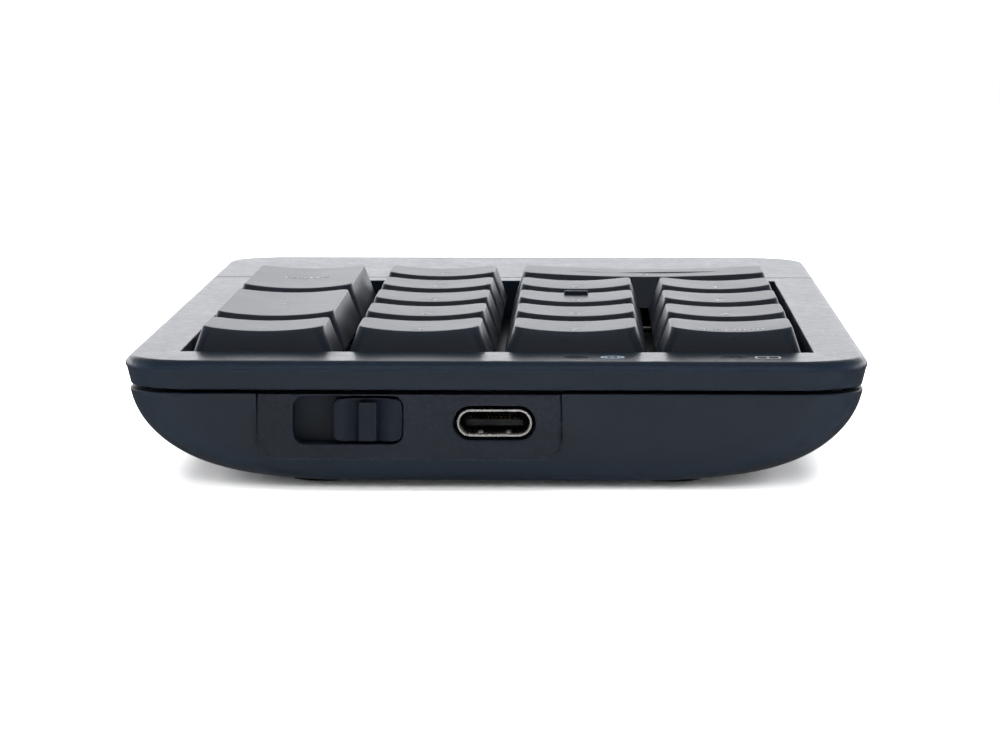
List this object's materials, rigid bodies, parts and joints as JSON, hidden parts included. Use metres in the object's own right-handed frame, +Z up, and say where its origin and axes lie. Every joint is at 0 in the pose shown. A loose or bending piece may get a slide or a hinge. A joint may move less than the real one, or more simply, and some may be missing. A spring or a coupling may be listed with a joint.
{
  "type": "numeric keypad",
  "caption": "Low-profile wireless numeric keypad: dished keys in a well, plain deck strip on the user's side, curved lower case, USB-C port and power slider at the back.",
  "frame": {"origin": "on the desk, under the middle of the case", "axes": "+X to the user's right, +Y away from the user towards the ports, +Z up"},
  "size_m": [0.0894, 0.15, 0.0186],
  "materials": {
    "case_plastic": "dark slate moulding, fine spark texture",
    "panel_plastic": "dark slate moulding, leather grain",
    "key_plastic": "smooth matt dark slate",
    "knob_plastic": "satin dark slate",
    "plate_steel": "black painted steel sheet",
    "board_laminate": "solder resist",
    "switch_plastic": "black nylon",
    "stem_plastic": "brown acetal",
    "spring_steel": "drawn steel wire",
    "socket_steel": "drawn stainless shell",
    "contact_plastic": "black liquid-crystal polymer",
    "battery_foil": "laminated foil pouch",
    "lead_jacket": "silicone wire jacket",
    "connector_plastic": "cream nylon",
    "light_window": "smoked light guide",
    "led_resin": "clear resin",
    "chip_resin": "moulded epoxy",
    "foot_rubber": "matt rubber"
  },
  "bodies": {
    "root": {"bottom_shell": "case_plastic", "top_cover": "case_plastic", "front_deck_panel": "case_plastic", "rear_port_panel": "panel_plastic", "switch_plate": "plate_steel", "main_board": "board_laminate", "switch_bases": "switch_plastic", "switch_tops": "switch_plastic", "switch_springs": "spring_steel", "usb_socket_shell": "socket_steel", "usb_tongue": "contact_plastic", "slide_switch_can": "socket_steel", "battery_cell": "battery_foil", "battery_leads": "lead_jacket", "battery_connector": "connector_plastic", "light_pipes": "light_window", "status_leds": "led_resin", "controller_chip": "chip_resin", "rubber_feet": "foot_rubber", "case_screws": "spring_steel", "stabilizer_clips": "switch_plastic"},
    "power_slider": {"power_switch_knob": "knob_plastic", "slide_switch_lever": "contact_plastic"},
    "key_num": {"keycap_num": "key_plastic", "stem_num": "stem_plastic"},
    "key_divide": {"keycap_divide": "key_plastic", "stem_divide": "stem_plastic"},
    "key_multiply": {"keycap_multiply": "key_plastic", "stem_multiply": "stem_plastic"},
    "key_minus": {"keycap_minus": "key_plastic", "stem_minus": "stem_plastic"},
    "key_seven": {"keycap_seven": "key_plastic", "stem_seven": "stem_plastic"},
    "key_eight": {"keycap_eight": "key_plastic", "stem_eight": "stem_plastic"},
    "key_nine": {"keycap_nine": "key_plastic", "stem_nine": "stem_plastic"},
    "key_four": {"keycap_four": "key_plastic", "stem_four": "stem_plastic"},
    "key_five": {"keycap_five": "key_plastic", "stem_five": "stem_plastic"},
    "key_six": {"keycap_six": "key_plastic", "stem_six": "stem_plastic"},
    "key_plus": {"keycap_plus": "key_plastic", "stem_plus": "stem_plastic"},
    "key_one": {"keycap_one": "key_plastic", "stem_one": "stem_plastic"},
    "key_two": {"keycap_two": "key_plastic", "stem_two": "stem_plastic"},
    "key_three": {"keycap_three": "key_plastic", "stem_three": "stem_plastic"},
    "key_enter": {"keycap_enter": "key_plastic", "stem_enter": "stem_plastic"},
    "key_zero": {"keycap_zero": "key_plastic", "stem_zero": "stem_plastic"},
    "key_decimal": {"keycap_decimal": "key_plastic", "stem_decimal": "stem_plastic"},
    "stabilizer_plus": {"stabilizer_wire_plus": "spring_steel"},
    "stabilizer_enter": {"stabilizer_wire_enter": "spring_steel"},
    "stabilizer_zero": {"stabilizer_wire_zero": "spring_steel"}
  },
  "joints": [
    {"name": "power_slide", "type": "slide", "parent": "root", "child": "power_slider", "axis": [1, 0, 0], "range_m": [0, 0.0046]},
    {"name": "press_num", "type": "slide", "parent": "root", "child": "key_num", "axis": [0, 0, 1], "range_m": [-0.003, 0], "stiffness_N_per_m": 83, "springref_m": 0.0042, "deforming": ["switch_springs"]},
    {"name": "press_divide", "type": "slide", "parent": "root", "child": "key_divide", "axis": [0, 0, 1], "range_m": [-0.003, 0], "stiffness_N_per_m": 83, "springref_m": 0.0042, "deforming": ["switch_springs"]},
    {"name": "press_multiply", "type": "slide", "parent": "root", "child": "key_multiply", "axis": [0, 0, 1], "range_m": [-0.003, 0], "stiffness_N_per_m": 83, "springref_m": 0.0042, "deforming": ["switch_springs"]},
    {"name": "press_minus", "type": "slide", "parent": "root", "child": "key_minus", "axis": [0, 0, 1], "range_m": [-0.003, 0], "stiffness_N_per_m": 83, "springref_m": 0.0042, "deforming": ["switch_springs"]},
    {"name": "press_seven", "type": "slide", "parent": "root", "child": "key_seven", "axis": [0, 0, 1], "range_m": [-0.003, 0], "stiffness_N_per_m": 83, "springref_m": 0.0042, "deforming": ["switch_springs"]},
    {"name": "press_eight", "type": "slide", "parent": "root", "child": "key_eight", "axis": [0, 0, 1], "range_m": [-0.003, 0], "stiffness_N_per_m": 83, "springref_m": 0.0042, "deforming": ["switch_springs"]},
    {"name": "press_nine", "type": "slide", "parent": "root", "child": "key_nine", "axis": [0, 0, 1], "range_m": [-0.003, 0], "stiffness_N_per_m": 83, "springref_m": 0.0042, "deforming": ["switch_springs"]},
    {"name": "press_four", "type": "slide", "parent": "root", "child": "key_four", "axis": [0, 0, 1], "range_m": [-0.003, 0], "stiffness_N_per_m": 83, "springref_m": 0.0042, "deforming": ["switch_springs"]},
    {"name": "press_five", "type": "slide", "parent": "root", "child": "key_five", "axis": [0, 0, 1], "range_m": [-0.003, 0], "stiffness_N_per_m": 83, "springref_m": 0.0042, "deforming": ["switch_springs"]},
    {"name": "press_six", "type": "slide", "parent": "root", "child": "key_six", "axis": [0, 0, 1], "range_m": [-0.003, 0], "stiffness_N_per_m": 83, "springref_m": 0.0042, "deforming": ["switch_springs"]},
    {"name": "press_plus", "type": "slide", "parent": "root", "child": "key_plus", "axis": [0, 0, 1], "range_m": [-0.003, 0], "stiffness_N_per_m": 83, "springref_m": 0.0042, "deforming": ["switch_springs"]},
    {"name": "press_one", "type": "slide", "parent": "root", "child": "key_one", "axis": [0, 0, 1], "range_m": [-0.003, 0], "stiffness_N_per_m": 83, "springref_m": 0.0042, "deforming": ["switch_springs"]},
    {"name": "press_two", "type": "slide", "parent": "root", "child": "key_two", "axis": [0, 0, 1], "range_m": [-0.003, 0], "stiffness_N_per_m": 83, "springref_m": 0.0042, "deforming": ["switch_springs"]},
    {"name": "press_three", "type": "slide", "parent": "root", "child": "key_three", "axis": [0, 0, 1], "range_m": [-0.003, 0], "stiffness_N_per_m": 83, "springref_m": 0.0042, "deforming": ["switch_springs"]},
    {"name": "press_enter", "type": "slide", "parent": "root", "child": "key_enter", "axis": [0, 0, 1], "range_m": [-0.003, 0], "stiffness_N_per_m": 83, "springref_m": 0.0042, "deforming": ["switch_springs"]},
    {"name": "press_zero", "type": "slide", "parent": "root", "child": "key_zero", "axis": [0, 0, 1], "range_m": [-0.003, 0], "stiffness_N_per_m": 83, "springref_m": 0.0042, "deforming": ["switch_springs"]},
    {"name": "press_decimal", "type": "slide", "parent": "root", "child": "key_decimal", "axis": [0, 0, 1], "range_m": [-0.003, 0], "stiffness_N_per_m": 83, "springref_m": 0.0042, "deforming": ["switch_springs"]},
    {"name": "wire_plus", "type": "hinge", "parent": "root", "child": "stabilizer_plus", "pos_m": [0.02167, 0.02533, 0.01065], "axis": [0, 1, 0], "range_deg": [0, 28.1]},
    {"name": "wire_enter", "type": "hinge", "parent": "root", "child": "stabilizer_enter", "pos_m": [0.02167, -0.01277, 0.01065], "axis": [0, 1, 0], "range_deg": [0, 28.1]},
    {"name": "wire_zero", "type": "hinge", "parent": "root", "child": "stabilizer_zero", "pos_m": [-0.01905, -0.0154, 0.01065], "axis": [1, 0, 0], "range_deg": [0, 28.1]}
  ],
  "couplings": [
    {"joint": "wire_plus", "follows": "press_plus", "rad_per_m": -162.91},
    {"joint": "wire_enter", "follows": "press_enter", "rad_per_m": -162.91},
    {"joint": "wire_zero", "follows": "press_zero", "rad_per_m": -162.91}
  ]
}
